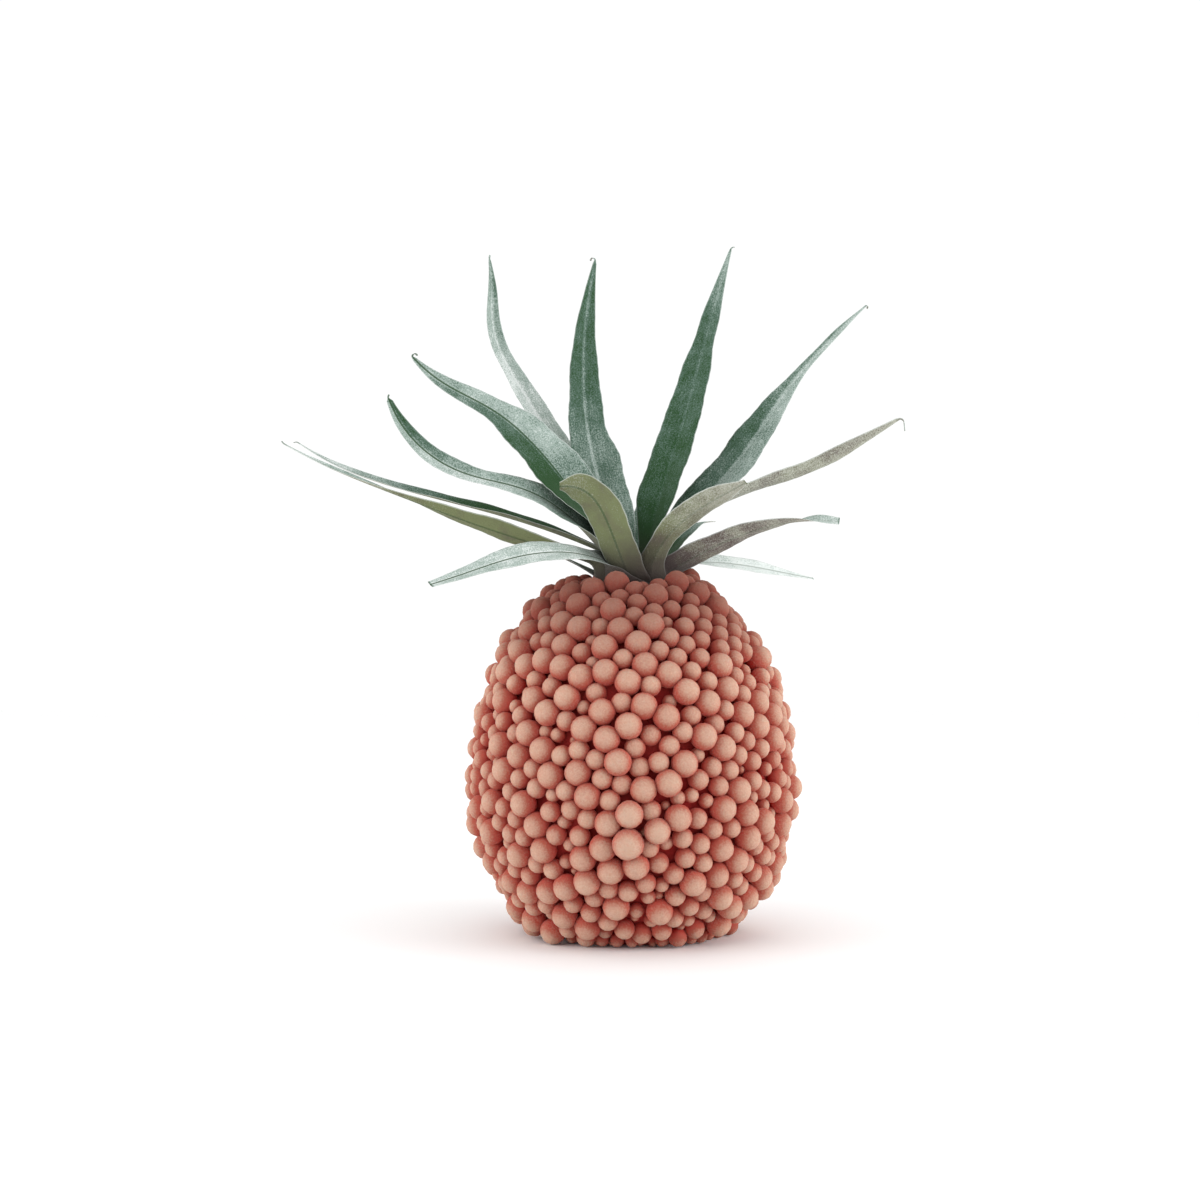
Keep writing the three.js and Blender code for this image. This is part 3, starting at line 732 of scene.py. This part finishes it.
def leaf_mesh(leaf, rank):
    """Closed cloth blade: a row of upper points and a row of lower points at each step."""
    total = leaf["neck"] + leaf["length"]
    points, flat = [], []
    painted = {name: [] for name in ("aside", "edge", "upper", "frost", "low")}
    for place, along, side, travelled, width in leaf_line(leaf):
        aside, edge, raised, thick = leaf_section(leaf, rank, travelled, width)
        share = travelled / total
        tone = keyed(leaf["frost"], share) if share < 1 else THREAD_FROST
        # Painted light and shade: one half of the folded leaf is made paler than the other, as light falls on
        # the fold
        row = {"aside": aside, "edge": edge, "frost": tone + keyed(leaf["half_shade"], share) * np.tanh(aside),
               "low": np.full(LEAF_COLUMNS, 1 - smooth_step(travelled, DARK_FROM, DARK_TO))}
        up = np.cross(along, side)
        for upper, order in ((1, slice(None)), (0, slice(None, None, -1))):
            height = raised + thick / 2 if upper else raised - thick / 2
            points.append(place + np.outer(aside, side)[order] + np.outer(height, up)[order])
            flat.append(np.stack([aside[order], np.full(LEAF_COLUMNS, travelled)], axis=1))
            row["upper"] = np.full(LEAF_COLUMNS, upper)
            for name, values in painted.items():
                values.append(row[name][order])
    loop = 2 * LEAF_COLUMNS
    end = (len(points) // 2 - 1) * loop
    faces = []
    for here in range(0, end, loop):
        for corner in range(loop):
            after = (corner + 1) % loop
            faces.append((here + corner, here + loop + corner, here + loop + after, here + after))
    faces.append(tuple(range(loop)))
    faces.append(tuple(reversed(range(end, end + loop))))
    mesh = bpy.data.meshes.new(leaf["name"] + "_cloth")
    mesh.from_pydata((np.concatenate(points) * MM).tolist(), [], faces)
    mesh.polygons.foreach_set("use_smooth", [True] * len(mesh.polygons))
    for name, values in painted.items():
        point_values(mesh, name, np.concatenate(values))
    for name in ("under", "rib"):
        point_values(mesh, name, np.full(len(mesh.vertices), leaf[name]))
    layer = mesh.uv_layers.new(name="UVMap")
    corners = np.empty(len(mesh.loops), dtype=np.int32)
    mesh.loops.foreach_get("vertex_index", corners)
    layer.uv.foreach_set("vector", np.concatenate(flat)[corners].astype(np.float32).ravel())
    return mesh


def leaf_flock():
    """Green to white by its frost above, mauve or olive below, with a rib line, pale edges, a brown foot."""
    finish = Finish("leaf_flock", LEAF_SHEEN, LEAF_SHEEN_TINT)
    where = finish.place()
    grain = finish.noise(where, LEAF_GRAIN)
    cloth = finish.add("ShaderNodeUVMap", {"uv_map": "UVMap"})
    stretched = finish.add("ShaderNodeVectorMath", {"operation": "MULTIPLY"}, {0: cloth, 1: STREAK_STRETCH})
    streaks = finish.noise(stretched, STREAK_SCALE, PATTERN_DETAIL) - 0.5
    blotches = finish.noise(where, BLOTCH_SCALE, PATTERN_DETAIL) - 0.5
    aside = finish.attribute("aside").size()
    rib = finish.attribute("rib")
    frost = finish.attribute("frost")
    beside = 1 - aside.eased(*BESIDE_RIB)
    frosting = frost + streaks * STREAK_FROST + blotches * BLOTCH_FROST
    frosting = frosting + (grain - 0.5) + beside * rib.size() * RIB_FROST
    above = finish.blend(frosting.eased(*GREEN_RANGE), DEEP_GREEN, LEAF_GREEN)
    above = finish.blend(frosting.eased(*MINT_RANGE), above, MINT)
    above = finish.blend(frosting.eased(*WHITE_RANGE), above, FROST_WHITE)
    below = finish.blend(finish.attribute("under") + blotches * OLIVE_BLOTCHES, MAUVE, OLIVE)
    below = finish.blend(frosting.eased(*PALE_UNDER_RANGE), below, PALE_UNDER)
    below = finish.blend(frosting.eased(*WHITE_UNDER_RANGE), below, FROST_WHITE)
    colour = finish.blend(finish.attribute("upper"), below, above)
    groove = (1 - aside.eased(*RIB_LINE)) * (rib * -1)
    colour = finish.blend(groove * RIB_DARK, colour, DEEP_GREEN)
    edge = 1 - finish.attribute("edge").eased(*EDGE_LINE)
    colour = finish.blend(edge * EDGE_WHITE, colour, FROST_WHITE)
    colour = finish.blend(finish.attribute("low") * FOOT_DARK, colour, BASE_BROWN)
    return finish.dress(colour, grain + streaks * STREAK_RELIEF, LEAF_RELIEF)


leaf_material = leaf_flock()
for rank, leaf in enumerate(LEAVES):
    blade = add_object(leaf["name"] + "_cloth", leaf_mesh(leaf, rank))
    blade.data.materials.append(leaf_material)
    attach(blade, "root")
    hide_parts(leaf["name"])


# Studio
# A plain pale floor under an even white sky, with a soft round light on either side. The camera stands 650 mm
# away at the height of the upper beads and looks slightly up.

FLOOR_SIZE = 8.0
FLOOR_WHITE = (0.96, 0.96, 0.96, 1)
FLOOR_ROUGHNESS = 0.9
SKY_WHITE = (1, 1, 1, 1)
SKY_STRENGTH = 1.04

# Each light: its place, and its power in watts
LIGHTS = {"left_light": ((-1.3, -0.5, 0.35), 9), "right_light": ((1.3, -0.4, 0.35), 11)}
LIGHT_AIM = (0, 0, 0.12)
LIGHT_SIZE = 0.9

CAMERA_PLACE = (0, -0.650, 0.113)
CAMERA_AIM = (-0.0142, 0, 0.1463)
CAMERA_LENS = 43.83


def turned_to(place, aim):
    """The turn of a light or camera at this place that looks at the aim."""
    return (Vector(aim) - Vector(place)).to_track_quat("-Z", "Y").to_euler()


floor_paint = bpy.data.materials.new("pale_floor")
floor_paint.use_nodes = True
floor_surface = floor_paint.node_tree.nodes["Principled BSDF"]
floor_surface.inputs["Base Color"].default_value = FLOOR_WHITE
floor_surface.inputs["Roughness"].default_value = FLOOR_ROUGHNESS
floor_mesh = bpy.data.meshes.new("floor")
reach = FLOOR_SIZE / 2
floor_mesh.from_pydata([(-reach, -reach, 0), (reach, -reach, 0), (reach, reach, 0), (-reach, reach, 0)],
                       [], [(0, 1, 2, 3)])
floor = add_object("floor", floor_mesh)
floor.data.materials.append(floor_paint)

for name, (place, power) in LIGHTS.items():
    lamp = bpy.data.lights.new(name, "AREA")
    lamp.shape = "DISK"
    lamp.size = LIGHT_SIZE
    lamp.energy = power
    light = add_object(name, lamp)
    light.location = place
    light.rotation_euler = turned_to(place, LIGHT_AIM)

world = bpy.data.worlds.new("studio")
world.use_nodes = True
sky = world.node_tree.nodes["Background"]
sky.inputs["Color"].default_value = SKY_WHITE
sky.inputs["Strength"].default_value = SKY_STRENGTH
bpy.context.scene.world = world
bpy.context.scene.view_settings.view_transform = "Standard"

lens = bpy.data.cameras.new("camera")
lens.lens = CAMERA_LENS
camera = add_object("camera", lens)
camera.location = CAMERA_PLACE
camera.rotation_euler = turned_to(CAMERA_PLACE, CAMERA_AIM)
bpy.context.scene.camera = camera
